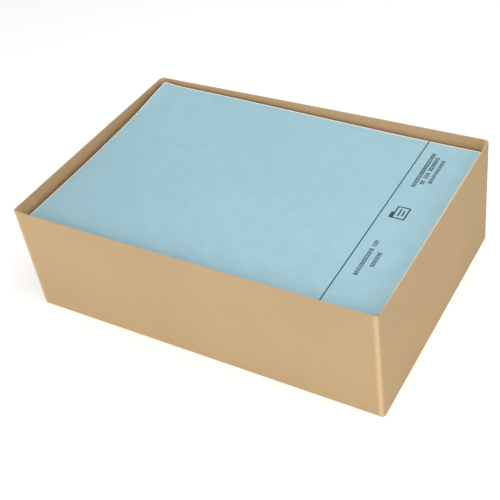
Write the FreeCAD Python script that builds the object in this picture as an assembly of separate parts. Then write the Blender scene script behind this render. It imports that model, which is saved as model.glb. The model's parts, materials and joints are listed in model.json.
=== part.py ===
import FreeCAD, Part

# Open tray of kraft board that holds a pile of square-cut manila folders, each with a two-prong
# steel fastener inside. Millimetres. The origin is the centre of the tray's underside, +X points
# to the foot end of the folders, +Y to their open long edge and +Z up out of the tray.

import math
import os

from FreeCAD import Vector

# ---------------------------------------------------------------- driving dimensions: the folders
folder_count = 50          # folders in a full tray, the top one included
folder_length = 350.0      # closed folder along X, for foolscap paper of 330 mm
folder_width = 238.0       # closed folder along Y, from the fold to the open edge
folder_board = 0.40        # manila board of 320 g/m2
crease_inset = 3.0         # flat strip between the fold's bend and the cover's crease
bundle_count = 4           # handfuls that the folders under the top one are taken out in
pile_shift = -1.0          # the pile's middle along Y, because it is slid in against the fold side
jog_length = 1.2           # most that a folder lies off the pile's middle along X
jog_width = 0.9            # the same along Y
top_shift = 1.0            # how far the top folder lies off the pile's middle, towards its foot

# ---------------------------------------------------------------- driving dimensions: the fastener
strip_metal = 0.25         # steel of the base, the prongs and the compressor bar
lock_metal = 0.20          # steel of the sliding locks
slip = 0.02                # clearance between metal layers that slide on each other
cover_air = 0.02           # clearance between the locks and the folder's cover
fastener_inset = 20.0      # from the folder's fold to the fastener's centre line
prong_spacing = 80.0       # between the two holes that papers are punched with
prong_width = 5.5
prong_bend = 0.10          # inner radius where a prong is folded
base_length = 96.0
base_width = 9.0
bar_length = 112.0         # compressor bar
bar_width = 12.0
slot_clearance = 0.5       # round a prong, in the bar's slot
lock_length = 12.0
lock_grip = 17.0           # from a folded prong's tip to the far end of its lock, when locked
release_gap = 1.0          # from a folded prong's tip to its lock, when that is slid off to the middle

# ---------------------------------------------------------------- driving dimensions: the tray
tray_board = 1.0
end_gap = 5.0              # from a folder's short edge to the end wall
side_gap = 3.0             # from a folder's long edge to the long wall
headroom = 11.5            # from the top folder to the rim
base_crease = 0.6          # inner radius of the folds round the base
corner_crease = 1.0        # inner radius of the folds at the upright corners
end_wall_setback = 2.4     # from the long wall's outer face to the end wall's cut edge
tab_width = 30.0           # glue tab, from the end wall's corner inwards
tab_rise = 0.5             # from the underside to the tab's bottom edge
tab_drop = 1.0             # from the rim to the tab's top edge
tab_slope = 2.0            # how much the tab narrows towards its free edge, at each side

# ---------------------------------------------------------------- what follows from them
tip_gap = 2 * (lock_length + release_gap)          # between the tips of the two folded prongs
layer_base = strip_metal + slip                    # top of the base strip, with its clearance
layer_bar = layer_base + lock_metal + slip         # underside of the compressor bar
layer_prong = layer_bar + strip_metal + slip       # underside of a folded prong
layer_lock = layer_prong + strip_metal + slip      # underside of a lock's upper wall
leaf_gap = layer_lock + lock_metal + cover_air     # between a closed folder's two leaves
folder_thickness = leaf_gap + 2 * folder_board
fold_y = -folder_width / 2                         # outermost line of a folder's fold
crease_y = fold_y + folder_thickness / 2 + crease_inset
pile_height = folder_count * folder_thickness

tray_length = folder_length + 2 * (end_gap + tray_board)
tray_width = folder_width + 2 * (side_gap + tray_board)
tray_height = tray_board + pile_height + headroom

XY, XZ, YZ = "XY", "XZ", "YZ"


def at(plane, u, v, w):
    """The point whose first two coordinates lie in the plane and whose third is across it."""
    return {XY: Vector(u, v, w), XZ: Vector(u, w, v), YZ: Vector(w, u, v)}[plane]


def bent_sheet(plane, corners, thickness, bend_radius, low, high):
    """A sheet bent at right angles. The corners run along its outer side and always turn left, and
    the sheet lies to their left. It spans low to high across the plane."""
    outer_radius = bend_radius + thickness
    headings = [(b[0] - a[0], b[1] - a[1]) for a, b in zip(corners, corners[1:])]
    headings = [(h[0] / math.hypot(*h), h[1] / math.hypot(*h)) for h in headings]
    # Each station is a point on the outer side with the left normal there, and each bend is the
    # centre and the mid direction of the arc that joins two stations.
    stations = [(corners[0], (-headings[0][1], headings[0][0]))]
    bends = []
    for corner, into, out in zip(corners[1:], headings, headings[1:]):
        centre = (corner[0] + outer_radius * (out[0] - into[0]),
                  corner[1] + outer_radius * (out[1] - into[1]))
        for heading in (into, out):
            normal = (-heading[1], heading[0])
            point = (centre[0] - outer_radius * normal[0], centre[1] - outer_radius * normal[1])
            stations.append((point, normal))
        middle = ((into[0] - out[0]) / math.sqrt(2), (into[1] - out[1]) / math.sqrt(2))
        bends.append((centre, middle))
    stations.append((corners[-1], (-headings[-1][1], headings[-1][0])))

    def side(inset, radius):
        """Edges along one side of the sheet, inset from the outer one."""
        points = [(p[0] + inset * n[0], p[1] + inset * n[1]) for p, n in stations]
        edges = []
        for number in range(len(points) - 1):
            a, b = points[number], points[number + 1]
            if number % 2:
                centre, middle = bends[number // 2]
                over = (centre[0] + radius * middle[0], centre[1] + radius * middle[1])
                edges.append(Part.Arc(at(plane, *a, low), at(plane, *over, low),
                                      at(plane, *b, low)).toShape())
            elif math.dist(a, b) > 1e-6:
                edges.append(Part.makeLine(at(plane, *a, low), at(plane, *b, low)))
        return edges, points[0], points[-1]

    outer_edges, outer_start, outer_end = side(0.0, outer_radius)
    inner_edges, inner_start, inner_end = side(thickness, bend_radius)
    caps = [Part.makeLine(at(plane, *a, low), at(plane, *b, low))
            for a, b in ((outer_start, inner_start), (outer_end, inner_end))]
    wire = Part.Wire(Part.__sortEdges__(outer_edges + inner_edges + caps))
    return Part.Face(wire).extrude(at(plane, 0, 0, high - low))


def block(low, high):
    """A box between two opposite corners."""
    size = [b - a for a, b in zip(low, high)]
    return Part.makeBox(*size, Vector(*low))


def rounded_strip(length, width, thickness, bottom):
    """A strip along X with half-round ends, centred on the origin."""
    radius = width / 2
    straight = length / 2 - radius
    corners = [Vector(-straight, -radius, bottom), Vector(straight, -radius, bottom),
               Vector(straight, radius, bottom), Vector(-straight, radius, bottom)]
    ends = [Vector(length / 2, 0, bottom), Vector(-length / 2, 0, bottom)]
    wire = Part.Wire([Part.makeLine(corners[0], corners[1]),
                      Part.Arc(corners[1], ends[0], corners[2]).toShape(),
                      Part.makeLine(corners[2], corners[3]),
                      Part.Arc(corners[3], ends[1], corners[0]).toShape()])
    return Part.Face(wire).extrude(Vector(0, 0, thickness))


# ---------------------------------------------------------------- the tray
def corner_fold(sign_x, sign_y):
    """The fold at one upright corner, with the glue tab that lies inside the end wall."""
    outer_x = tray_length / 2 - tray_board
    outer_y = tray_width / 2
    wall_end = outer_x - corner_crease - tray_board
    tab_end = outer_y - tab_width
    rim = tray_height - tab_drop
    fold = bent_sheet(XY, [(wall_end, -outer_y), (outer_x, -outer_y), (outer_x, -tab_end)],
                      tray_board, corner_crease, tab_rise, tray_height)
    # The tab starts at the inner face of the fold. Above its top edge only the fold reaches the rim.
    tab_root = -(outer_y - tray_board - corner_crease)
    reach = 2 * tray_board
    for root_z, tip_z, beyond_z in ((rim, rim - tab_slope, tray_height + reach),
                                    (tab_rise, tab_rise + tab_slope, tab_rise - reach)):
        waste = Part.makePolygon([Vector(outer_x - reach, tab_root, root_z),
                                  Vector(outer_x - reach, -tab_end + reach, tip_z),
                                  Vector(outer_x - reach, -tab_end + reach, beyond_z),
                                  Vector(outer_x - reach, tab_root, beyond_z),
                                  Vector(outer_x - reach, tab_root, root_z)])
        fold = fold.cut(Part.Face(waste).extrude(Vector(2 * reach, 0, 0)))
    if sign_y > 0:
        fold = fold.mirror(Vector(0, 0, 0), Vector(0, 1, 0))
    if sign_x < 0:
        fold = fold.mirror(Vector(0, 0, 0), Vector(1, 0, 0))
    return fold


def tray():
    """One die-cut blank, creased and folded up: the base, four walls and four glue tabs."""
    half_length, half_width = tray_length / 2, tray_width / 2
    long_wall_end = half_length - 2 * tray_board - corner_crease
    end_wall_side = half_width - end_wall_setback
    blank = bent_sheet(YZ, [(-half_width, tray_height), (-half_width, 0), (half_width, 0),
                            (half_width, tray_height)],
                       tray_board, base_crease, -long_wall_end, long_wall_end)
    end_walls = bent_sheet(XZ, [(-half_length, tray_height), (-half_length, 0), (half_length, 0),
                                (half_length, tray_height)],
                           tray_board, base_crease, -end_wall_side, end_wall_side)
    folds = [corner_fold(x, y) for x in (-1, 1) for y in (-1, 1)]
    return blank.multiFuse([end_walls] + folds).removeSplitter()


# ---------------------------------------------------------------- the folders
def folder_profile_corners(cover_end):
    """Outer side of a closed folder's section, from the cover's end round the fold to the open edge
    of the back leaf."""
    open_edge = folder_width / 2
    return [(cover_end, folder_thickness), (fold_y, folder_thickness), (fold_y, 0), (open_edge, 0)]


def folder_board_piece(cover_end):
    """A folded board, its back leaf on the ground, with its cover cut off at cover_end."""
    return bent_sheet(YZ, folder_profile_corners(cover_end), folder_board,
                      folder_thickness / 2 - folder_board, -folder_length / 2, folder_length / 2)


def closed_folder():
    """One whole folder board, folded shut."""
    return folder_board_piece(folder_width / 2)


def back_leaf_with_fold():
    """The top folder's back leaf, its fold and the strip up to the cover's crease."""
    return folder_board_piece(crease_y)


def cover_leaf():
    """The top folder's cover, from its crease to its open edge."""
    return block((-folder_length / 2, crease_y, folder_thickness - folder_board),
                 (folder_length / 2, folder_width / 2, folder_thickness))


# ---------------------------------------------------------------- the fastener, laid on z = 0
def fastener_base():
    """The base strip with its two prongs, which stand up through the bar and fold inwards."""
    side_x = prong_spacing / 2 + strip_metal / 2
    tip_x = tip_gap / 2
    top = layer_prong + strip_metal
    prongs = bent_sheet(XZ, [(-tip_x, top), (-side_x, top), (-side_x, 0), (side_x, 0), (side_x, top),
                             (tip_x, top)],
                        strip_metal, prong_bend, -prong_width / 2, prong_width / 2)
    strip = rounded_strip(base_length, base_width, strip_metal, 0.0)
    return strip.fuse(prongs).removeSplitter()


def compressor_bar():
    """The bar that presses the papers down, with a slot for each prong."""
    bar = rounded_strip(bar_length, bar_width, strip_metal, layer_bar)
    half_slot = strip_metal / 2 + slot_clearance
    half_width = prong_width / 2 + slot_clearance
    for sign in (-1, 1):
        centre = sign * prong_spacing / 2
        slot = block((centre - half_slot, -half_width, layer_bar - strip_metal),
                     (centre + half_slot, half_width, layer_bar + 2 * strip_metal))
        bar = bar.cut(slot)
    return bar


def sliding_lock(sign):
    """The sleeve that holds one folded prong down on the bar, over the prong's tip."""
    centre = sign * (tip_gap / 2 + lock_grip - lock_length / 2)
    inner_half = bar_width / 2 + slot_clearance / 2
    outer_half = inner_half + lock_metal
    bottom, top = layer_bar - slip - lock_metal, layer_lock + lock_metal
    sleeve = block((centre - lock_length / 2, -outer_half, bottom),
                   (centre + lock_length / 2, outer_half, top))
    hollow = block((centre - lock_length, -inner_half, bottom + lock_metal),
                   (centre + lock_length, inner_half, top - lock_metal))
    return sleeve.cut(hollow)


def whole_fastener():
    """All the pieces of one fastener, as separate solids."""
    return [fastener_base(), compressor_bar(), sliding_lock(-1), sliding_lock(1)]


# ---------------------------------------------------------------- the pile
def folder_place(number):
    """Where folder number lies, counted from 1 at the bottom."""
    bottom = tray_board + (number - 1) * folder_thickness
    if number == folder_count:
        return Vector(top_shift, pile_shift, bottom)
    # Steps of 2.4 and 3.7 radians never repeat, so neighbours differ as in a pile set down by hand.
    return Vector(jog_length * math.sin(2.4 * number),
                  pile_shift + jog_width * math.sin(3.7 * number), bottom)


def fastener_place(number):
    """Where the fastener of folder number lies: on the inner face of its back leaf."""
    return folder_place(number) + Vector(0, fold_y + fastener_inset, folder_board)


def moved(shape, place):
    """A copy of the shape, shifted to its place."""
    copy = shape.copy()
    copy.translate(place)
    return copy


def bundles():
    """The folders under the top one, as lists of numbers from the bottom up, one list a handful."""
    lower = folder_count - 1
    share, spare = divmod(lower, bundle_count)
    sizes = [share + (1 if number < spare else 0) for number in range(bundle_count)]
    starts = [1 + sum(sizes[:number]) for number in range(bundle_count)]
    return [list(range(start, start + size)) for start, size in zip(starts, sizes)]


def nodes():
    """Every sub-part by name, each a shape of one or more solids."""
    top = folder_count
    made = {
        "tray": tray(),
        "top_folder_back": moved(back_leaf_with_fold(), folder_place(top)),
        "top_folder_cover": moved(cover_leaf(), folder_place(top)),
        "top_fastener_base": moved(fastener_base(), fastener_place(top)),
        "top_compressor_bar": moved(compressor_bar(), fastener_place(top)),
        "top_left_lock": moved(sliding_lock(-1), fastener_place(top)),
        "top_right_lock": moved(sliding_lock(1), fastener_place(top)),
    }
    board, fastener = closed_folder(), whole_fastener()
    for bundle, numbers in enumerate(bundles(), start=1):
        pieces = []
        for number in numbers:
            made[f"folder_{number:02d}"] = moved(board, folder_place(number))
            pieces += [moved(piece, fastener_place(number)) for piece in fastener]
        made[f"fasteners_{bundle}"] = Part.makeCompound(pieces)
    return made


def main():
    os.makedirs("parts", exist_ok=True)
    made = nodes()
    for name, shape in made.items():
        shape.exportStep(f"parts/{name}.step")
    print(f"{len(made)} nodes, tray {tray_length:.1f} x {tray_width:.1f} x {tray_height:.1f} mm,",
          f"folder {folder_thickness:.2f} mm thick, pile top at {tray_board + pile_height:.2f} mm,",
          f"cover crease at y = {crease_y + pile_shift:.2f} mm")
    for bundle, numbers in enumerate(bundles(), start=1):
        lift = tray_height - folder_place(numbers[0]).z
        print(f"bundle {bundle}: folders {numbers[0]} to {numbers[-1]}, {lift:.2f} mm below the rim")


main()
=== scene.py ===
# %% [markdown]
# # An open kraft tray, full of blue manila folders
#
# The object is a shallow box with no lid, folded from one blank of brown kraft board. It is filled
# almost to the rim with square-cut folders of light blue manila board, and each folder holds a
# two-prong steel fastener. This file builds everything that shows. The frame that it loads fixes
# where each piece is and how it moves, so the sizes here follow the frame: boards are laid where it
# has them, and get the bends, the curl, the wear and the fibres that a frame lacks, and some painted
# highlights and painted bounce light.

# %% Load the frame
import json
import math
import random

import bmesh
import bpy
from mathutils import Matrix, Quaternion, Vector, noise

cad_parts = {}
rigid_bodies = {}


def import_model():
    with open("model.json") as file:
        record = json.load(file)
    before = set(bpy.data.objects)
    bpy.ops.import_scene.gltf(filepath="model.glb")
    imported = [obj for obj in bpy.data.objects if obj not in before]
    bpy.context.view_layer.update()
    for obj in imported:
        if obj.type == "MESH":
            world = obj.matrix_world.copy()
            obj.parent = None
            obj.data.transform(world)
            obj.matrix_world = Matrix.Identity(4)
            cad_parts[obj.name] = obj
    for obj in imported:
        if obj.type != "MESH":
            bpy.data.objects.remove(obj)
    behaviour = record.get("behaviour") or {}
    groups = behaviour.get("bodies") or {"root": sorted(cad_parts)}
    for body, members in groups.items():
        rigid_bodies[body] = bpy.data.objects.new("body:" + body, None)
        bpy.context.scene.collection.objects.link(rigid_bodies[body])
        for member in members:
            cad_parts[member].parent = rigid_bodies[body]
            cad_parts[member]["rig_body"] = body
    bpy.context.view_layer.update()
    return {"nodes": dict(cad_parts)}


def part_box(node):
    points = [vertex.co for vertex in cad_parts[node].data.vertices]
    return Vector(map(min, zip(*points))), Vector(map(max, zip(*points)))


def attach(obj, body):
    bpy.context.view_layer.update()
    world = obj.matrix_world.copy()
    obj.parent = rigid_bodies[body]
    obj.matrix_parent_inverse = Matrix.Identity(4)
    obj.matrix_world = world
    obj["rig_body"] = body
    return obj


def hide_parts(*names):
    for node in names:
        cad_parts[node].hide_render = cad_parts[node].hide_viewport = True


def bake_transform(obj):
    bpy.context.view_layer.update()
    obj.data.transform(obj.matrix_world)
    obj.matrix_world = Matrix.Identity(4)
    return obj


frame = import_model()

# %% [markdown]
# ## Sizes
#
# All lengths are in metres. The tray, the folders and the cover's crease are read from the frame.
# Only what its boxes can't say is written here: how thick the kraft board is and how tightly it is
# folded. Both are the values that the frame was drawn with.

# %% Read the sizes
MM = 0.001
tray_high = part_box("tray")[1]
half_length, half_width, tray_height = tray_high.x, tray_high.y, tray_high.z
cover_low, cover_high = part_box("top_folder_cover")
crease_y = cover_low.y
manila_thickness = cover_high.z - cover_low.z

kraft_thickness = 1.0 * MM
base_fold_radius = 0.6 * MM + kraft_thickness
corner_fold_radius = 1.0 * MM + kraft_thickness

# %% [markdown]
# ## The camera
#
# A camera is placed by the direction that it looks from, as a photographer thinks of it: how far
# round the box, how high above it, and how far the horizon is rolled. A small lens shift slides the
# picture without turning the camera, so that upright edges keep their slight convergence.

# %% Place the camera
def camera_direction(azimuth, elevation):
    """The direction from the object to the camera. Azimuth 0 is straight in front of it, at -Y."""
    a, e = math.radians(azimuth), math.radians(elevation)
    return Vector((math.sin(a) * math.cos(e), -math.cos(a) * math.cos(e), math.sin(e)))


CAMERA_PLACE = (0.4069, -0.5809, 0.6219)
AZIMUTH, ELEVATION, ROLL = 34.92, 38.85, -8.81          # degrees
FOCAL_LENGTH = 69.1                                     # millimetres
LENS_SHIFT = (-0.02, -0.04)                             # in widths of the picture

camera = bpy.data.objects.new("camera", bpy.data.cameras.new("camera"))
bpy.context.scene.collection.objects.link(camera)
camera.data.lens = FOCAL_LENGTH
camera.data.shift_x, camera.data.shift_y = LENS_SHIFT
camera.location = CAMERA_PLACE
camera.rotation_mode = "QUATERNION"
looking = -camera_direction(AZIMUTH, ELEVATION)
horizon_roll = Quaternion((0, 0, 1), math.radians(ROLL))
camera.rotation_quaternion = looking.to_track_quat("-Z", "Y") @ horizon_roll
bpy.context.scene.camera = camera
print("camera is", round(camera.location.length, 3), "m from the middle of the base")

# %% [markdown]
# ## Light and floor
#
# Boxes like this are pictured in a light tent, which is white on all sides. The white world stands
# for the tent, and it keeps the side walls almost as bright as the top. A large lamp in front of
# the tray does most of the rest, with a second one for its right end and a weak one above. Large
# area lamps give soft shadows without noise. The floor glows a little, which keeps it white.

# %% Light the set
def soft_lamp(name, place, size, power):
    """A square lamp that faces the middle of the tray."""
    lamp = bpy.data.objects.new(name, bpy.data.lights.new(name, "AREA"))
    bpy.context.scene.collection.objects.link(lamp)
    lamp.data.size = size
    lamp.data.energy = power
    lamp.location = place
    aim = Vector((0, 0, tray_height / 2)) - lamp.location
    lamp.rotation_mode = "QUATERNION"
    lamp.rotation_quaternion = aim.to_track_quat("-Z", "Y")


TENT_STRENGTH = 0.40
# Where each lamp stands and how wide it is, in metres, and its power in watts.
LAMPS = {"key_lamp": ((-0.75, -2.05, 1.05), 1.6, 30.2),
         "side_lamp": ((2.0, -0.6, 1.0), 1.4, 13.8),
         "top_lamp": ((0.30, 0.08, 0.82), 0.5, 2.5)}
for lamp_name, (lamp_place, lamp_size, lamp_power) in LAMPS.items():
    soft_lamp(lamp_name, lamp_place, lamp_size, lamp_power)

world = bpy.data.worlds.new("light_tent")
world.use_nodes = True
tent = world.node_tree.nodes["Background"]
tent.inputs["Color"].default_value = (1.0, 1.0, 1.0, 1.0)
tent.inputs["Strength"].default_value = TENT_STRENGTH
bpy.context.scene.world = world
bpy.context.scene.view_settings.view_transform = "Standard"

# %% Lay the floor
FLOOR_REACH = 8.0           # from the middle to each side, in metres
FLOOR_DROP = 0.1 * MM       # keeps the floor from touching the tray's underside
FLOOR_WHITE, FLOOR_GLOW = 0.90, 0.35

floor_shape = bmesh.new()
bmesh.ops.create_grid(floor_shape, x_segments=1, y_segments=1, size=FLOOR_REACH)
bmesh.ops.translate(floor_shape, verts=floor_shape.verts, vec=(0, 0, -FLOOR_DROP))
floor_mesh = bpy.data.meshes.new("floor")
floor_shape.to_mesh(floor_mesh)
floor_shape.free()
floor = bpy.data.objects.new("floor", floor_mesh)
bpy.context.scene.collection.objects.link(floor)
floor_paint = bpy.data.materials.new("floor_paper")
floor_paint.use_nodes = True
floor_finish = floor_paint.node_tree.nodes["Principled BSDF"]
floor_finish.inputs["Base Color"].default_value = (FLOOR_WHITE, FLOOR_WHITE, FLOOR_WHITE, 1.0)
floor_finish.inputs["Emission Color"].default_value = (1.0, 1.0, 1.0, 1.0)
floor_finish.inputs["Emission Strength"].default_value = FLOOR_GLOW
floor_finish.inputs["Roughness"].default_value = 0.9
floor_mesh.materials.append(floor_paint)

# %% [markdown]
# ## A short way to write materials
#
# A procedural material is a small graph of nodes. Written out link by link it is long and hard to
# read, so a helper class lets a formula be written as nested calls. Each call makes one node and
# returns its output socket, and a plain number may stand wherever a socket may.

# %% A helper for node graphs
class Graph:
    """Builds one material's nodes. The methods return sockets that can be fed to other methods."""

    def __init__(self, name):
        self.material = bpy.data.materials.new(name)
        self.material.use_nodes = True
        self.tree = self.material.node_tree
        self.surface = self.tree.nodes["Principled BSDF"]

    def feed(self, socket, value):
        """Links a socket to an input, or sets the input to a plain value."""
        if isinstance(value, bpy.types.NodeSocket):
            self.tree.links.new(value, socket)
        else:
            socket.default_value = value

    def feed_colour(self, socket, colour):
        """Links a socket to a colour input, or sets the input to plain red, green and blue."""
        plain = not isinstance(colour, bpy.types.NodeSocket)
        self.feed(socket, (*colour, 1.0) if plain else colour)

    def math(self, operation, *values):
        node = self.tree.nodes.new("ShaderNodeMath")
        node.operation = operation
        for socket, value in zip(node.inputs, values):
            self.feed(socket, value)
        return node.outputs[0]

    def above(self, value, level):
        """1 where the value is above a level, else 0."""
        return self.math("GREATER_THAN", value, level)

    def within(self, value, middle, reach):
        """1 where the value is nearer to a middle than a reach, else 0."""
        distance = self.math("ABSOLUTE", self.math("SUBTRACT", value, middle))
        return self.math("LESS_THAN", distance, reach)

    def object_place(self):
        """A point on the piece, in metres, in the frame that all pieces share."""
        return self.tree.nodes.new("ShaderNodeTexCoord").outputs["Object"]

    def attribute(self, name, output="Fac"):
        node = self.tree.nodes.new("ShaderNodeAttribute")
        node.attribute_name = name
        return node.outputs[output]

    def stretch(self, vector, scale):
        node = self.tree.nodes.new("ShaderNodeMapping")
        self.feed(node.inputs["Vector"], vector)
        node.inputs["Scale"].default_value = scale
        return node.outputs[0]

    def split(self, vector):
        node = self.tree.nodes.new("ShaderNodeSeparateXYZ")
        self.feed(node.inputs[0], vector)
        return node.outputs["X"], node.outputs["Y"], node.outputs["Z"]

    def noise(self, vector, per_metre, detail=2.0, roughness=0.5):
        """Soft random values about 0.5, with so many bumps to a metre."""
        node = self.tree.nodes.new("ShaderNodeTexNoise")
        self.feed(node.inputs["Vector"], vector)
        node.inputs["Scale"].default_value = per_metre
        node.inputs["Detail"].default_value = detail
        node.inputs["Roughness"].default_value = roughness
        return node.outputs["Fac"]

    def dice(self, number):
        """An even random value from 0 to 1 for each whole number."""
        node = self.tree.nodes.new("ShaderNodeTexWhiteNoise")
        node.noise_dimensions = "1D"
        self.feed(node.inputs["W"], number)
        return node.outputs["Value"]

    def ramp(self, value, low, high, low_colour, high_colour):
        """A colour that runs from one to another while the value runs from low to high."""
        node = self.tree.nodes.new("ShaderNodeMapRange")
        self.feed(node.inputs["Value"], value)
        node.inputs["From Min"].default_value = low
        node.inputs["From Max"].default_value = high
        return self.mix(node.outputs["Result"], low_colour, high_colour)

    def mix(self, share, first, second):
        node = self.tree.nodes.new("ShaderNodeMix")
        node.data_type = "RGBA"
        self.feed(node.inputs["Factor"], share)
        self.feed_colour(node.inputs[6], first)
        self.feed_colour(node.inputs[7], second)
        return node.outputs[2]

    def lay_colour(self, body, where, strength, colour):
        """Lays a colour over another where a value is high, at most as strongly as given."""
        return self.mix(self.math("MULTIPLY", where, strength), body, colour)

    def bump(self, height, strength, distance):
        node = self.tree.nodes.new("ShaderNodeBump")
        self.feed(node.inputs["Height"], height)
        node.inputs["Strength"].default_value = strength
        node.inputs["Distance"].default_value = distance
        self.tree.links.new(node.outputs["Normal"], self.surface.inputs["Normal"])

    def finish(self, colour, roughness, specular=0.3, metallic=0.0):
        self.feed_colour(self.surface.inputs["Base Color"], colour)
        self.feed(self.surface.inputs["Roughness"], roughness)
        self.surface.inputs["Specular IOR Level"].default_value = specular
        self.surface.inputs["Metallic"].default_value = metallic
        return self.material


def shade(colour, factor):
    """A colour made lighter or darker."""
    return tuple(channel * factor for channel in colour)


# %% [markdown]
# ## Kraft board
#
# Kraft board is unbleached wood pulp. Up close it is a felt of fibres a millimetre or two long, with
# a few dark specks of bark, and its tone drifts slowly over the sheet. Its two sides differ: the
# outer liner is calendered smooth, and the inner one is rougher and more orange. Part of that orange
# is painted bounce light, the warm light that the kraft walls throw onto each other inside the tray.
# Where the board is folded, the outer fibres stretch and break, and the fold looks paler. The fold
# is made paler still as a painted highlight, for the light that its rounded face catches. The mesh
# marks its folds in an attribute called fold, so that the wear and the painted highlight stay on
# them. A cut edge shows the plies. It is paler than the face, partly from the raw pulp and partly as
# painted light that lifts the shade on the rims and in the seams at the corners.

# %% Kraft materials
KRAFT = (0.464, 0.327, 0.179)
# Partly painted bounce light: more orange than the outside, for the light the walls throw inside.
KRAFT_INSIDE = (0.560, 0.366, 0.198)
# Paler than the face: raw pulp, and painted light that lifts the shade on rims and corner seams.
KRAFT_EDGE = (0.560, 0.410, 0.245)


def kraft_board(name, tone, roughness, mottle):
    """One side of the board. mottle is how much the felt of fibres darkens it in spots."""
    g = Graph(name)
    place = g.object_place()
    drift = g.noise(place, 9, detail=3)
    felt = g.noise(place, 950, detail=4, roughness=0.65)
    long_fibres = g.noise(g.stretch(place, (1.0, 1.0, 3.0)), 420, detail=3, roughness=0.6)
    body = g.ramp(drift, 0.35, 0.65, shade(tone, 0.97), shade(tone, 1.03))
    spots = g.math("ABSOLUTE", g.math("SUBTRACT", felt, 0.5))
    body = g.lay_colour(body, spots, mottle, shade(tone, 0.72))
    flecks = g.above(g.noise(place, 430, detail=3), 0.56)
    body = g.lay_colour(body, flecks, 0.09 * mottle, shade(tone, 0.60))
    pale_fibres = g.above(long_fibres, 0.66)
    body = g.lay_colour(body, pale_fibres, 0.16, shade(tone, 1.25))
    bark_specks = g.above(g.noise(place, 640, detail=1), 0.765)
    body = g.lay_colour(body, bark_specks, 0.30, shade(tone, 0.45))
    # Paler on the folds: crease wear, and a painted highlight where the rounded fold catches light.
    body = g.lay_colour(body, g.attribute("fold"), 0.85, shade(tone, 1.42))
    relief = g.math("ADD", felt, g.math("MULTIPLY", long_fibres, 0.6))
    g.bump(relief, strength=0.16 * mottle, distance=0.2 * MM)
    return g.finish(body, roughness, specular=0.12)


def cut_kraft(name):
    g = Graph(name)
    place = g.object_place()
    plies = g.noise(g.stretch(place, (1.0, 1.0, 0.2)), 1500, detail=3, roughness=0.7)
    g.bump(plies, strength=0.3, distance=0.1 * MM)
    tone = g.ramp(plies, 0.3, 0.7, shade(KRAFT_EDGE, 0.85), shade(KRAFT_EDGE, 1.2))
    return g.finish(tone, 0.9, specular=0.15)


kraft_face = kraft_board("kraft_face", KRAFT, roughness=0.80, mottle=0.7)
kraft_inside = kraft_board("kraft_inside", KRAFT_INSIDE, roughness=0.90, mottle=2.0)
kraft_edge = cut_kraft("kraft_edge")
print("kraft board:", len(kraft_face.node_tree.nodes), "nodes on its face")

# %% [markdown]
# ## Manila board
#
# The folders are dyed in the pulp, and rolled smooth. The dye is cloudy at a scale of a few
# millimetres, which is what makes manila board look soft and not like painted plastic. Cut edges
# are a pale cream. The last millimetre or so of the face beside them is painted the same cream as a
# painted highlight, for the bright line that light draws along the sheet's edges. The pattern is
# tied to the flat sheet by an attribute called flat, in metres, because the top cover turns on its
# crease, and a pattern that was tied to space would slide over it. A second attribute is 1 at the
# cut edges, and it carries that painted highlight.

# %% Manila materials
MANILA = (0.373, 0.598, 0.680)
MANILA_EDGE = (0.76, 0.79, 0.72)
INK = (0.022, 0.040, 0.055)
MANILA_FINISH = {"roughness": 0.74, "specular": 0.28}


def manila_body(g, tone):
    """The colour of plain manila board. Gives the surface its faint bumps as well."""
    sheet = g.attribute("flat", "Vector")
    drift = g.noise(sheet, 6, detail=2)
    clouds = g.noise(sheet, 260, detail=5, roughness=0.62)
    felt = g.noise(sheet, 1700, detail=3, roughness=0.6)
    body = g.ramp(drift, 0.35, 0.65, shade(tone, 0.975), shade(tone, 1.025))
    patches = g.noise(sheet, 55, detail=3, roughness=0.55)
    body = g.mix(g.math("SUBTRACT", patches, 0.30), body, shade(tone, 0.86))
    body = g.lay_colour(body, g.math("SUBTRACT", clouds, 0.32), 0.42, shade(tone, 0.78))
    pale_fibres = g.above(felt, 0.68)
    body = g.lay_colour(body, pale_fibres, 0.22, shade(tone, 1.30))
    # A painted highlight: the face is laid cream along its cut edges.
    body = g.mix(g.above(g.attribute("edge_highlight"), 0.4), body, MANILA_EDGE)
    relief = g.math("ADD", g.math("MULTIPLY", clouds, 0.6), felt)
    g.bump(relief, strength=0.10, distance=0.12 * MM)
    return body


def plain_manila(name, tone):
    g = Graph(name)
    return g.finish(manila_body(g, tone), **MANILA_FINISH)


def cut_manila(name):
    g = Graph(name)
    fibres = g.noise(g.attribute("flat", "Vector"), 2600, detail=2)
    tone = g.ramp(fibres, 0.3, 0.7, shade(MANILA_EDGE, 0.88), shade(MANILA_EDGE, 1.1))
    return g.finish(tone, 0.85, specular=0.2)


manila_face = plain_manila("manila_face", MANILA)
manila_edge = cut_manila("manila_edge")

# %% [markdown]
# ## The print on the cover
#
# A plain rule runs across the cover, two inches from its foot, and small print stands between it
# and the foot. The print says nothing here: each letter is a block with a slot or two in it, which
# from a reading distance has the grey of small capitals. The round mark of the maker is replaced by
# a pictogram of a folder. All of it is done in the material, because ink has no height. The first
# helper below is 1 inside a rectangle and 0 outside it, and every mark is built from that.

# %% Print helpers
def inside(g, x, y, centre, half_size):
    """1 where the point is within a rectangle, else 0. Lengths are in millimetres."""
    return g.math("MULTIPLY", g.within(x, centre[0], half_size[0]),
                  g.within(y, centre[1], half_size[1]))


SLOT_HALF = 0.055           # half the width of a slot, in parts of a letter
NARROWEST, SPREAD = 0.70, 0.16          # of the blocks' widths, in parts of a letter's pitch
WORD_SPACES = 0.13          # the share of letters that are left out


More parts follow.
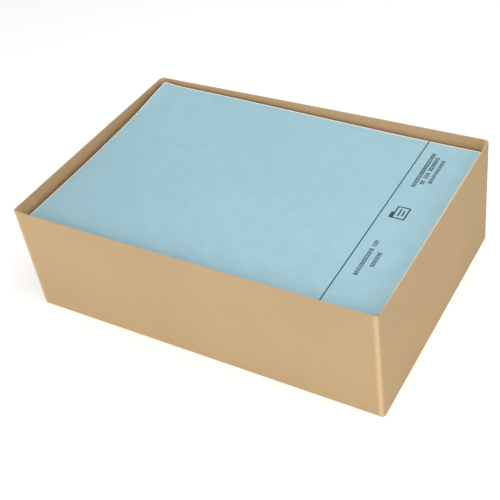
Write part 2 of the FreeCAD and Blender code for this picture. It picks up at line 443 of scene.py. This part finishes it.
def block_letters(g, x, y, row, middle, length, height, pitch, weight):
    """A line of letter-like blocks. It runs along +Y, and the tops of its letters point to -X."""
    column = g.math("DIVIDE", g.math("SUBTRACT", y, middle - length / 2), pitch)
    letter = g.math("FLOOR", column)
    across = g.math("FRACT", column)
    seed = g.math("ADD", letter, row * 7.0)
    width = g.math("ADD", g.math("MULTIPLY", g.dice(seed), SPREAD), NARROWEST)
    block = g.math("LESS_THAN", across, width)
    word_space = g.math("LESS_THAN", g.dice(g.math("ADD", seed, 31.5)), WORD_SPACES)
    up = g.math("DIVIDE", g.math("SUBTRACT", row, x), height)
    upright_slot = g.within(across, 0.36, SLOT_HALF)
    level_slot = g.within(up, 0.0, SLOT_HALF)
    kind = g.dice(g.math("ADD", seed, 77.25))
    slot = g.math("ADD", g.math("MULTIPLY", g.math("LESS_THAN", kind, 0.6), upright_slot),
                  g.math("MULTIPLY", g.above(kind, 0.4), level_slot))
    ink = g.math("MULTIPLY", block, g.math("SUBTRACT", 1.0, word_space))
    ink = g.math("MULTIPLY", ink, g.math("SUBTRACT", 1.0, g.math("MINIMUM", slot, 1.0)))
    row_box = inside(g, x, y, (row, middle), (height / 2, length / 2))
    return g.math("MULTIPLY", g.math("MULTIPLY", ink, row_box), weight)


def folder_pictogram(g, x, y, centre, size, stroke):
    """The outline of a folder with its tab, with two short lines inside."""
    cx, cy = centre
    half_up, half_along = 0.36 * size, 0.5 * size
    outer = inside(g, x, y, centre, (half_up, half_along))
    tab = inside(g, x, y, (cx - 0.40 * size, cy - 0.26 * size), (0.10 * size, 0.24 * size))
    hole = inside(g, x, y, centre, (half_up - stroke, half_along - stroke))
    outline = g.math("SUBTRACT", g.math("MAXIMUM", outer, tab), hole)
    for row, reach in ((-0.08, 0.30), (0.12, 0.22)):
        line = inside(g, x, y, (cx + row * size, cy), (stroke / 2, reach * size))
        outline = g.math("MAXIMUM", outline, line)
    return outline


# %% Printed manila
RULE_INSET = 50.8           # two inches; this and all that follows is in millimetres
RULE_HALF_SIZE = (0.57, 200.0)
# Each row of print: its distance from the foot, the middle of its length, the length itself, the
# height and the pitch of its letters, and how dark it is.
PRINT_ROWS = [(39.0, 75.0, 53.0, 3.9, 2.95, 1.0),
              (33.4, 75.5, 42.0, 3.9, 2.95, 1.0),
              (27.0, 74.5, 39.0, 3.4, 2.7, 0.95),
              (37.8, -52.2, 45.5, 3.6, 2.7, 0.95),
              (29.3, -52.0, 18.5, 3.6, 2.7, 0.95)]
MARK_INSET, MARK_MIDDLE, MARK_SIZE, MARK_STROKE = 33.9, 10.6, 17.0, 1.4


def printed_manila(name, tone, foot_x):
    """Manila with the rule and the print. Places are millimetres from the foot of the cover."""
    g = Graph(name)
    body = manila_body(g, tone)
    flat = g.attribute("flat", "Vector")
    x, y, _ = g.split(g.stretch(flat, (1 / MM,) * 3))
    foot = foot_x / MM
    ink = inside(g, x, y, (foot - RULE_INSET, 0.0), RULE_HALF_SIZE)
    for inset, *shape in PRINT_ROWS:
        ink = g.math("MAXIMUM", ink, block_letters(g, x, y, foot - inset, *shape))
    mark = folder_pictogram(g, x, y, (foot - MARK_INSET, MARK_MIDDLE), MARK_SIZE, MARK_STROKE)
    ink = g.math("MAXIMUM", ink, mark)
    grain = g.noise(flat, 2200, detail=2)
    cover_of_ink = g.ramp(grain, 0.35, 0.5, (0.80,) * 3, (0.98,) * 3)
    return g.finish(g.lay_colour(body, ink, cover_of_ink, INK), **MANILA_FINISH)


manila_printed = printed_manila("manila_printed", MANILA, cover_high.x)
print("printed cover:", len(manila_printed.node_tree.nodes), "nodes")

# %% [markdown]
# ## Steel
#
# The fasteners are tin-plated strip. Rolling leaves fine lines along the strip, and handling leaves
# faint smears, which show as a change of gloss more than of colour.

# %% Steel material
def tinned_steel(name, tone, roughness):
    g = Graph(name)
    place = g.object_place()
    rolled = g.noise(g.stretch(place, (0.03, 1.0, 1.0)), 9000, detail=2)
    smears = g.noise(place, 120, detail=3)
    g.bump(rolled, strength=0.12, distance=0.03 * MM)
    smear_depth = 0.22
    gloss = g.math("ADD", g.math("MULTIPLY", smears, smear_depth), roughness - smear_depth / 2)
    colour = g.ramp(smears, 0.3, 0.7, shade(tone, 0.93), tone)
    return g.finish(colour, gloss, specular=0.5, metallic=1.0)


strip_steel = tinned_steel("strip_steel", (0.90, 0.89, 0.86), roughness=0.28)
lock_steel = tinned_steel("lock_steel", (0.82, 0.82, 0.81), roughness=0.34)

# %% [markdown]
# ## Tools for folding board
#
# Real board is folded by turning part of a flat sheet about a line. bmesh can do just that. Spin
# carries an edge round an axis and leaves a band of faces behind it, which is a fold of a given
# radius. Extruding the edge and moving it straight on makes the next panel. The thickness is added
# last, to the whole sheet, so it stays even round every fold.

# %% Folding tools
near = 0.01 * MM            # two places this close are the same


def boundary_on(bm, axis, value, keep=lambda middle: True):
    """Open edges whose ends both have the given coordinate, in metres, along axis 0, 1 or 2."""
    return [e for e in bm.edges if e.is_boundary
            and all(abs(v.co[axis] - value) < near for v in e.verts)
            and keep((e.verts[0].co + e.verts[1].co) / 2)]


def fold_over(bm, edges, centre, axis, degrees, steps):
    """Spins edges about a line, and returns the edges where the fold ends."""
    verts = list({v for e in edges for v in e.verts})
    made = bmesh.ops.spin(bm, geom=verts + edges, cent=centre, axis=axis,
                          angle=math.radians(degrees), steps=steps)
    return [g for g in made["geom_last"] if isinstance(g, bmesh.types.BMEdge)]


def draw_out(bm, edges, step):
    """Extrudes edges straight on by a step, and returns the new far edges."""
    made = bmesh.ops.extrude_edge_only(bm, edges=edges)["geom"]
    far = {g for g in made if isinstance(g, bmesh.types.BMVert)}
    bmesh.ops.translate(bm, verts=list(far), vec=step)
    return [g for g in made if isinstance(g, bmesh.types.BMEdge)
            and all(v in far for v in g.verts)]


def cut_across(bm, axis, value):
    """Adds a line of vertices through the sheet where one coordinate has a value."""
    normal = Vector([1.0 if i == axis else 0.0 for i in range(3)])
    bmesh.ops.bisect_plane(bm, geom=bm.verts[:] + bm.edges[:] + bm.faces[:],
                           plane_co=normal * value, plane_no=normal)


def piece_from(bm, name, materials):
    """Turns a finished bmesh into an object at the origin."""
    mesh = bpy.data.meshes.new(name)
    bm.to_mesh(mesh)
    bm.free()
    for material in materials:
        mesh.materials.append(material)
    mesh.shade_smooth()
    piece = bpy.data.objects.new(name, mesh)
    bpy.context.scene.collection.objects.link(piece)
    return piece


ARRIS = 0.12                # a cut edge is blunted by this share of the thickness
SHARPEST_BEND = 50          # degrees; a corner that turns more than this is a cut edge


def thicken(piece, thickness, offset, inner_material=0, rim_material=1):
    """Gives a sheet its thickness. The cut edge and the inside may have materials of their own."""
    solid = piece.modifiers.new("thickness", "SOLIDIFY")
    solid.thickness = thickness
    solid.offset = offset
    solid.use_even_offset = True
    solid.material_offset = inner_material
    solid.material_offset_rim = rim_material
    arris = piece.modifiers.new("cut_arris", "BEVEL")
    arris.width = ARRIS * thickness
    arris.segments = 1
    arris.limit_method = "ANGLE"
    arris.angle_limit = math.radians(SHARPEST_BEND)
    arris.harden_normals = True


# %% [markdown]
# ## The tray
#
# The tray is one blank. The base is a flat grid. Each long wall and each end wall turns up from it
# round a tight crease. The long walls then carry on round the upright corners, and end in tabs that
# are glued inside the end walls. So an end wall's own cut edges can be seen on the end faces, a few
# millimetres in from each corner, next to the rounded and slightly paler fold.

# %% Where the blank is cut
long_wall_end = half_length - kraft_thickness - corner_fold_radius
end_wall_side = half_width - 2.4 * MM           # leaves a gap for the long wall to turn round
tab_edge = half_width - 30 * MM                 # where a tab ends, on the end wall
tab_bottom, tab_top = 0.5 * MM, tray_height - 1.0 * MM
tab_slope = 2 * MM          # how much a tab narrows at its top and at its bottom
fade = 3.0 * MM             # how far the wear and the painted highlight of a fold reach into the flat board
wall_levels = [base_fold_radius + fade, 20 * MM, 40 * MM, 60 * MM, 80 * MM, 98 * MM, tab_top,
               tray_height]
tab_reach = half_width - corner_fold_radius - tab_edge
print("tab:", round(tab_reach / MM, 1), "mm of it lies on the end wall")


# %% Fold up the tray
def raise_wall(bm, edges):
    """Draws a wall up from its crease to the rim."""
    level = base_fold_radius
    for next_level in wall_levels:
        edges = draw_out(bm, edges, (0, 0, next_level - level))
        level = next_level


def tray_sheet():
    """The blank's outer skin, folded up."""
    bm = bmesh.new()
    reach_x, reach_y = half_length - base_fold_radius, half_width - base_fold_radius
    bmesh.ops.create_grid(bm, x_segments=26, y_segments=18, size=1.0)
    bmesh.ops.scale(bm, verts=bm.verts, vec=(reach_x, reach_y, 1.0))
    for sign in (-1, 1):
        for inset in (0.0, fade):
            cut_across(bm, 0, sign * (long_wall_end - inset))
            cut_across(bm, 1, sign * (end_wall_side - inset))
    corners = [f for f in bm.faces if abs(f.calc_center_median().x) > long_wall_end
               and abs(f.calc_center_median().y) > end_wall_side]
    bmesh.ops.delete(bm, geom=corners, context="FACES")
    for sign in (-1, 1):
        root = boundary_on(bm, 1, sign * reach_y)
        centre = (0, sign * reach_y, base_fold_radius)
        raise_wall(bm, fold_over(bm, root, centre, (1, 0, 0), sign * 90, steps=5))
        root = boundary_on(bm, 0, sign * reach_x)
        centre = (sign * reach_x, 0, base_fold_radius)
        raise_wall(bm, fold_over(bm, root, centre, (0, 1, 0), -sign * 90, steps=5))
    for sign_x in (-1, 1):
        for sign_y in (-1, 1):
            glue_tab(bm, sign_x, sign_y)
    bmesh.ops.recalc_face_normals(bm, faces=bm.faces)
    under = min(bm.faces, key=lambda f: f.calc_center_median().z)
    if under.normal.z > 0:
        bmesh.ops.reverse_faces(bm, faces=bm.faces)
    return bm


def glue_tab(bm, sign_x, sign_y):
    """Carries a long wall round its corner, and on into the tab inside the end wall."""
    wall_y = sign_y * half_width
    root = boundary_on(bm, 0, sign_x * long_wall_end, lambda m: abs(m.y - wall_y) < near)
    centre = (sign_x * long_wall_end, wall_y - sign_y * corner_fold_radius, 0)
    turned = fold_over(bm, root, centre, (0, 0, 1), -sign_x * sign_y * 90, steps=6)
    for v in bm.verts:
        # The corner reaches down past the base's own fold, so that it ends in a point.
        if sign_x * v.co.x > long_wall_end + near and 0 < sign_y * v.co.y - end_wall_side \
                and v.co.z < base_fold_radius + near:
            v.co.z = tab_bottom
    edges = [e for e in turned if (e.verts[0].co.z + e.verts[1].co.z) / 2 < tab_top]
    start = abs(centre[1])
    steps = 4                   # the tab narrows from each step to the next
    middle = tab_top / 2
    for step in range(1, steps + 1):
        edges = draw_out(bm, edges, (0, -sign_y * (start - tab_edge) / steps, 0))
        shrink = (middle - tab_slope * step / steps) / (middle - tab_slope * (step - 1) / steps)
        for v in {v for e in edges for v in e.verts}:
            v.co.z = middle + (v.co.z - middle) * shrink


def bow_walls(bm, long_bow, end_bow):
    """Lets each wall swell outwards between its corners, more at the rim than at the base."""
    wall_skin = 0.5 * MM        # what lies this near to the outside is part of a wall
    for v in bm.verts:
        x, y = v.co.x, v.co.y
        rise = math.sin(math.pi / 2 * min(1.0, v.co.z / tray_height))
        if abs(x) < long_wall_end and abs(y) > half_width - wall_skin:
            v.co.y += math.copysign(long_bow * rise * math.cos(math.pi / 2 * x / long_wall_end), y)
        elif abs(y) < end_wall_side and abs(x) > half_length - wall_skin:
            v.co.x += math.copysign(end_bow * rise * math.cos(math.pi / 2 * y / end_wall_side), x)


def mark_folds(bm):
    """Fills the attribute fold: 1 round the upright corners, and less round the base."""
    # Crease wear and a painted highlight: the rounded folds are painted paler than the flat board.
    wear_and_highlight = bm.verts.layers.float.new("fold")
    for v in bm.verts:
        x, y = abs(v.co.x), abs(v.co.y)
        if x > long_wall_end + near and y > half_width - corner_fold_radius - near:
            v[wear_and_highlight] = 1.0
        elif abs(x - long_wall_end) < near and y > half_width - near and v.co.z > base_fold_radius:
            v[wear_and_highlight] = 0.9
        elif near < v.co.z < base_fold_radius - near:
            v[wear_and_highlight] = 0.3


tray_bm = tray_sheet()
mark_folds(tray_bm)
bow_walls(tray_bm, long_bow=0.5 * MM, end_bow=0.35 * MM)
print("tray sheet:", len(tray_bm.faces), "faces,",
      len([e for e in tray_bm.edges if e.is_boundary]), "open edges")
tray = piece_from(tray_bm, "tray_board", [kraft_face, kraft_inside, kraft_edge])
thicken(tray, kraft_thickness, -1.0, inner_material=1, rim_material=2)
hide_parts("tray")
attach(tray, "tray")

# %% [markdown]
# ## The folders under the top one
#
# Each folder is one board that is folded in half, with a round fold on the side where it would be
# bound. A real pile is never quite even: leaves pinch together towards their free edge, where no
# fastener keeps them apart, and every board has a slight wave. Each folder gets a small pinch and
# wave of its own, from a random generator that starts from the folder's name, so that the pile is
# the same on every run. The waves stay inside the slot that the frame gives to that folder.

# %% Fold a board
hinge_strip = 1.2 * MM      # the top folder's two pieces meet this far before the crease
edge_highlight_band = 2.4 * MM        # over which the painted edge highlight fades, from a cut edge inwards
corner_clip = 1.6 * MM      # how much a die takes off the free corners


def smooth_step(value, low, high):
    t = min(1.0, max(0.0, (value - low) / (high - low)))
    return t * t * (3 - 2 * t)


def cut_to_size(bm, low, high):
    """Marks a painted highlight along the cut edges of the sheet, and clips its free corners."""
    edge_highlight = bm.verts.layers.float.new("edge_highlight")
    for axis, value in ((0, low.x + edge_highlight_band), (0, high.x - edge_highlight_band), (1, high.y - edge_highlight_band)):
        cut_across(bm, axis, value)
    corners = [v for v in bm.verts if abs(v.co.y - high.y) < near and len(v.link_faces) == 1]
    bmesh.ops.bevel(bm, geom=corners, offset=corner_clip, offset_type="OFFSET", segments=3,
                    profile=0.5, affect="VERTICES", material=-1)
    for v in bm.verts:
        at_crease = abs(v.co.y - crease_y) < 2 * hinge_strip
        v[edge_highlight] = 1.0 if v.is_boundary and not at_crease else 0.0


def folded_sheet(low, high, columns, rows, cover_end):
    """The middle skin of a folded board: back leaf, fold, and cover as far as cover_end."""
    bm = bmesh.new()
    flat = bm.verts.layers.float_vector.new("flat")
    fold_line = low.y + (high.z - low.z) / 2
    leaf = high.y - fold_line
    bmesh.ops.create_grid(bm, x_segments=columns, y_segments=rows, size=0.5)
    bmesh.ops.scale(bm, verts=bm.verts, vec=(high.x - low.x, leaf, 1.0))
    middle = (low + high) / 2
    back_leaf_middle = (middle.x, fold_line + leaf / 2, low.z + manila_thickness / 2)
    bmesh.ops.translate(bm, verts=bm.verts, vec=back_leaf_middle)
    root = boundary_on(bm, 1, fold_line)
    edges = fold_over(bm, root, (0, fold_line, middle.z), (1, 0, 0), -180, steps=8)
    steps = rows if cover_end > fold_line + leaf / 2 else 2
    for _ in range(steps):
        edges = draw_out(bm, edges, (0, (cover_end - fold_line) / steps, 0))
    for v in bm.verts:
        on_cover = v.co.z > middle.z
        v[flat] = (v.co.x, v.co.y if on_cover else 2 * fold_line - v.co.y, low.z)
    bmesh.ops.recalc_face_normals(bm, faces=bm.faces)
    if max(bm.faces, key=lambda f: f.calc_center_median().z).normal.z < 0:
        bmesh.ops.reverse_faces(bm, faces=bm.faces)
    return bm


# %% Lay the pile
pinch_start = 35 * MM       # from the fold to where the leaves begin to draw together


def settle(bm, low, high, chance):
    """Pinches the leaves together towards their free edge, and gives each a slight wave."""
    middle = (low.z + high.z) / 2
    room = (high.z - low.z) / 2 - manila_thickness
    # Both dictionaries say True for the upper leaf and False for the lower one.
    sags = {True: -chance.uniform(0.1, 0.55) * room, False: chance.uniform(0.0, 0.35) * room}
    waves = {leaf: (chance.uniform(0.0, 0.25) * room, chance.uniform(0, 2 * math.pi),
                    chance.uniform(9, 22))
             for leaf in (True, False)}
    for v in bm.verts:
        above = v.co.z > middle
        loose = smooth_step(v.co.y, low.y + pinch_start, high.y)
        size, phase, rate = waves[above]
        wave = size * (0.5 + 0.5 * math.sin(rate * v.co.x + phase))
        v.co.z += loose * (sags[above] + (-wave if above else wave))


def lower_folder(node):
    """One folder of the pile, in the place that the frame gives it."""
    low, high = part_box(node)
    bm = folded_sheet(low, high, columns=8, rows=5, cover_end=high.y)
    cut_to_size(bm, low, high)
    settle(bm, low, high, random.Random(node))
    piece = piece_from(bm, node + "_board", [manila_face, manila_edge])
    thicken(piece, manila_thickness, 0.0)
    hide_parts(node)
    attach(piece, frame["nodes"][node]["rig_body"])
    return piece


lower_nodes = sorted(n for n in frame["nodes"] if n.startswith("folder_"))
pile = [lower_folder(node) for node in lower_nodes]
print("pile:", len(pile), "folders of", len(pile[0].data.polygons), "faces each")

# %% [markdown]
# ## The top folder's back leaf
#
# The top folder opens, so it is two pieces that meet just before the cover's crease. The first is
# the back leaf with the round fold and the narrow strip up to there. It stays with the pile.
#
# Damp air makes a free corner of manila board curl. The cover lies flat along its fold, and rises
# towards its free corner at the head until it almost reaches the rim. That height is a product of
# two smooth curves, one along each side. Two small heights are added: the whole free edge springs up
# by half a millimetre, and the very corner turns up a little more. The back leaf has the weight of
# the cover on it, and rises less than half as far.

# %% How the top folder curls
curl_height = 7.7 * MM
ear_height = 1.4 * MM       # of the very corner
spring = 0.5 * MM           # of the whole free edge
back_share = 0.4            # the part of all this that the back leaf has


def curl(x, y):
    """How far the cover has risen at a point, from the flat."""
    along = (cover_high.x - x) / (cover_high.x - cover_low.x)
    across = max(0.0, (y - crease_y) / (cover_high.y - crease_y))
    lift = curl_height * smooth_step(along, 0.0, 1.05) * across ** 2.9 + spring * across ** 1.5
    return lift + ear_height * smooth_step(along, 0.94, 1.0) * smooth_step(across, 0.72, 0.92)


# %% Back leaf of the top folder
back_low, back_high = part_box("top_folder_back")
back_bm = folded_sheet(back_low, back_high, columns=24, rows=16, cover_end=crease_y - hinge_strip)
cut_to_size(back_bm, back_low, back_high)
for v in back_bm.verts:
    if v.co.z < (back_low.z + back_high.z) / 2:
        v.co.z += back_share * curl(v.co.x, v.co.y)
back_leaf = piece_from(back_bm, "top_back_leaf", [manila_face, manila_edge])
thicken(back_leaf, manila_thickness, 0.0)
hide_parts("top_folder_back")
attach(back_leaf, "top_folder")
print("back leaf:", len(back_leaf.data.polygons), "faces")

# %% [markdown]
# ## The top folder's cover
#
# The cover is the largest surface that shows, so its grid is finer, and it gets a ripple besides the
# curl: noise of some centimetres across, at most a quarter of a millimetre high. Lines across its
# grid mark off a narrow strip at the crease.

# %% Cover of the top folder
bend_half = 0.8 * MM        # half the width of the strip at the crease
ripple_height = 0.25 * MM
ripple_rate = 11            # bumps to a metre
ripple_start = 60 * MM      # from the crease to where the ripple is at its full height


def cover_sheet():
    """The cover's middle skin, from just before its crease to its free edge."""
    bm = bmesh.new()
    flat = bm.verts.layers.float_vector.new("flat")
    start = crease_y - hinge_strip
    bmesh.ops.create_grid(bm, x_segments=48, y_segments=34, size=0.5)
    bmesh.ops.scale(bm, verts=bm.verts, vec=(cover_high.x - cover_low.x, cover_high.y - start, 1.0))
    bmesh.ops.translate(bm, verts=bm.verts, vec=((cover_low.x + cover_high.x) / 2,
                                                 (cover_high.y + start) / 2,
                                                 cover_high.z - manila_thickness / 2))
    for share in (-1.0, -0.5, 0.0, 0.5, 1.0):
        cut_across(bm, 1, crease_y + share * bend_half)
    cut_to_size(bm, cover_low, cover_high)
    for v in bm.verts:
        v[flat] = (v.co.x, v.co.y, 0.0)
        ripple = noise.noise(Vector((v.co.x * ripple_rate, v.co.y * ripple_rate, 0.4)))
        ripple *= ripple_height * smooth_step(v.co.y, crease_y, crease_y + ripple_start)
        v.co.z += curl(v.co.x, v.co.y) + max(0.0, ripple)
    return bm


cover = piece_from(cover_sheet(), "top_cover_leaf", [manila_printed, manila_face, manila_edge])
thicken(cover, manila_thickness, 0.0, inner_material=1, rim_material=2)
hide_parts("top_folder_cover")
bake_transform(cover)

# %% [markdown]
# ## The top folder's fastener
#
# A two-prong fastener is pressed from thin tinned strip. The base lies on the back leaf with its two
# prongs standing up. The papers go over the prongs, then a bar with two slots, and the prongs are
# bent inwards over the bar. Two sleeves slide over their tips. It is under a millimetre and a half
# thick in all, so there is only room for shallow beads on the bar, which stop it from bending.
#
# Each part is a sheet first and gets its thickness last, as the boards do. A strip with round ends
# is a grid whose end columns are drawn together along a half circle.

# %% Measure the fastener
base_low, base_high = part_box("top_fastener_base")
bar_low, bar_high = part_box("top_compressor_bar")
fastener_middle = (bar_low + bar_high) / 2
strip_metal = bar_high.z - bar_low.z
lock_metal = 0.20 * MM
# Like the boards' folds, these are what the frame was drawn with. The gap is between the two tips.
prong_spacing, prong_width, prong_tip_gap = 80 * MM, 5.5 * MM, 26 * MM
prong_bend = 0.10 * MM + strip_metal / 2        # radius of the bend, to the middle of the metal
prong_rounding = 0.42 * prong_width
slot_clearance = 0.5 * MM
print(f"fastener: {strip_metal / MM:.2f} mm strip, bar {(bar_high.x - bar_low.x) / MM:.0f} mm long")


# %% Base strip and prongs
def rounded_strip(length, width, lines_x=(), lines_y=()):
    """A flat strip along X with half-round ends, centred on the origin, with extra lines across."""
    bm = bmesh.new()
    bmesh.ops.create_grid(bm, x_segments=8, y_segments=2, size=0.5)
    bmesh.ops.scale(bm, verts=bm.verts, vec=(length, width, 1.0))
    radius = width / 2
    straight = length / 2 - radius
    turns = [straight + radius * math.sin(math.radians(a)) for a in (0, 20, 40, 58, 72, 83)]
    for sign in (-1, 1):
        for x in turns + list(lines_x):
            cut_across(bm, 0, sign * x)
        for y in lines_y:
            cut_across(bm, 1, sign * y)
    for v in bm.verts:
        past = min(1.0, max(0.0, (abs(v.co.x) - straight) / radius))
        v.co.y *= math.sqrt(1 - past * past)
    bmesh.ops.remove_doubles(bm, verts=bm.verts, dist=0.001 * MM)
    return bm


def add_prong(bm, sign, foot_z, top_z):
    """One prong's middle skin, from its round tip, out over the bar and down to the base strip."""
    others = set(bm.verts)
    tip, tip_length = prong_tip_gap / 2, 4 * MM
    tip_end, bend_start = tip + tip_length, prong_spacing / 2 - prong_bend
    made = bmesh.ops.create_grid(bm, x_segments=1, y_segments=2, size=0.5)["verts"]
    bmesh.ops.scale(bm, verts=made, vec=(tip_length, prong_width, 1.0))
    bmesh.ops.translate(bm, verts=made, vec=(tip + tip_length / 2, 0, top_z))
    edges = boundary_on(bm, 0, tip_end, lambda middle: middle.z > top_z - near)
    edges = draw_out(bm, edges, (bend_start - tip_end, 0, 0))
    edges = fold_over(bm, edges, (bend_start, 0, top_z - prong_bend), (0, 1, 0), 90, steps=4)
    draw_out(bm, edges, (0, 0, foot_z - (top_z - prong_bend)))
    corners = [v for v in made if abs(v.co.x - tip) < near and len(v.link_faces) == 1]
    bmesh.ops.bevel(bm, geom=corners, offset=prong_rounding, offset_type="OFFSET", segments=5,
                    profile=0.5, affect="VERTICES", material=-1)
    if sign < 0:
        prong = [v for v in bm.verts if v not in others]
        bmesh.ops.scale(bm, verts=prong, vec=(-1, 1, 1))


base_bm = rounded_strip(base_high.x - base_low.x, base_high.y - base_low.y)
base_skin_z = strip_metal / 2
prong_skin_z = base_high.z - base_low.z - strip_metal / 2
for sign in (-1, 1):
    add_prong(base_bm, sign, base_skin_z, prong_skin_z)
bmesh.ops.recalc_face_normals(base_bm, faces=base_bm.faces)
base_place = (fastener_middle.x, fastener_middle.y, base_low.z)
bmesh.ops.translate(base_bm, verts=base_bm.verts, vec=base_place)
base_piece = piece_from(base_bm, "top_base_and_prongs", [strip_steel])
thicken(base_piece, strip_metal, 0.0, rim_material=0)
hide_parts("top_fastener_base")
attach(base_piece, "top_folder")
print("base and prongs:", len(base_piece.data.polygons), "faces")


# %% Compressor bar
def pressed_bar():
    """The bar's middle skin, with a slot for each prong and a raised bead along each side."""
    slot_in = prong_spacing / 2 - strip_metal / 2 - slot_clearance
    slot_out = prong_spacing / 2 + strip_metal / 2 + slot_clearance
    slot_half = prong_width / 2 + slot_clearance
    bead_middle, bead_half, bead_height = 4.5 * MM, 0.8 * MM, 0.18 * MM
    bead_fade, bead_end = 46 * MM, 47 * MM
    beads = [bead_middle + bead_half * share for share in (-1, -0.5, 0, 0.5, 1)]
    bm = rounded_strip(bar_high.x - bar_low.x, bar_high.y - bar_low.y,
                       (slot_in, slot_out, bead_fade, bead_end), [slot_half] + beads)
    windows = [f for f in bm.faces if slot_in < abs(f.calc_center_median().x) < slot_out
               and abs(f.calc_center_median().y) < slot_half]
    bmesh.ops.delete(bm, geom=windows, context="FACES")
    for v in bm.verts:
        off = min(1.0, abs(abs(v.co.y) - bead_middle) / bead_half)
        ends = smooth_step(abs(v.co.x), bead_fade, bead_end)
        v.co.z += bead_height * (1 - off * off) * (1 - ends)
    return bm


bar_bm = pressed_bar()
bmesh.ops.translate(bar_bm, verts=bar_bm.verts, vec=fastener_middle)
bar_piece = piece_from(bar_bm, "top_pressed_bar", [strip_steel])
thicken(bar_piece, strip_metal, 0.0, rim_material=0)
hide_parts("top_compressor_bar")
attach(bar_piece, "top_folder")
print("bar:", len(bar_piece.data.polygons), "faces")


# %% Sliding locks
def rolled_sleeve(low, high):
    """A sleeve's middle skin: a strip rolled round the bar, with its seam underneath."""
    height = high.z - low.z
    fold_y, seam = (high.y - low.y) / 2 - height / 2, 0.15 * MM
    skin_radius = (height - lock_metal) / 2
    middle = (low + high) / 2
    bm = bmesh.new()
    bmesh.ops.create_grid(bm, x_segments=6, y_segments=1, size=0.5)
    bmesh.ops.scale(bm, verts=bm.verts, vec=(high.x - low.x, fold_y - seam, 1.0))
    bmesh.ops.translate(bm, verts=bm.verts, vec=(0, (fold_y + seam) / 2, -skin_radius))
    edges = boundary_on(bm, 1, fold_y)
    edges = fold_over(bm, edges, (0, fold_y, 0), (1, 0, 0), 180, steps=8)
    steps = 6
    for _ in range(steps):
        edges = draw_out(bm, edges, (0, -2 * fold_y / steps, 0))
    edges = fold_over(bm, edges, (0, -fold_y, 0), (1, 0, 0), 180, steps=8)
    draw_out(bm, edges, (0, fold_y - seam, 0))
    bmesh.ops.recalc_face_normals(bm, faces=bm.faces)
    bmesh.ops.translate(bm, verts=bm.verts, vec=middle)
    return bm


for side in ("left", "right"):
    lock_bm = rolled_sleeve(*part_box(f"top_{side}_lock"))
    sleeve = piece_from(lock_bm, f"top_{side}_sleeve", [lock_steel])
    thicken(sleeve, lock_metal, 0.0, rim_material=0)
    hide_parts(f"top_{side}_lock")
    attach(sleeve, f"{side}_lock")
    print(side, "sleeve:", len(sleeve.data.polygons), "faces")

# %% [markdown]
# ## The fasteners further down
#
# Only the edges of the folders under the top one ever show, so their fasteners keep the frame's own
# pieces, and get the same steel.

# %% Steel on the frame's fasteners
for node in [n for n in frame["nodes"] if n.startswith("fasteners_")]:
    metal = frame["nodes"][node].data.materials
    metal.clear()
    metal.append(strip_steel)
    print(node, "has its steel")
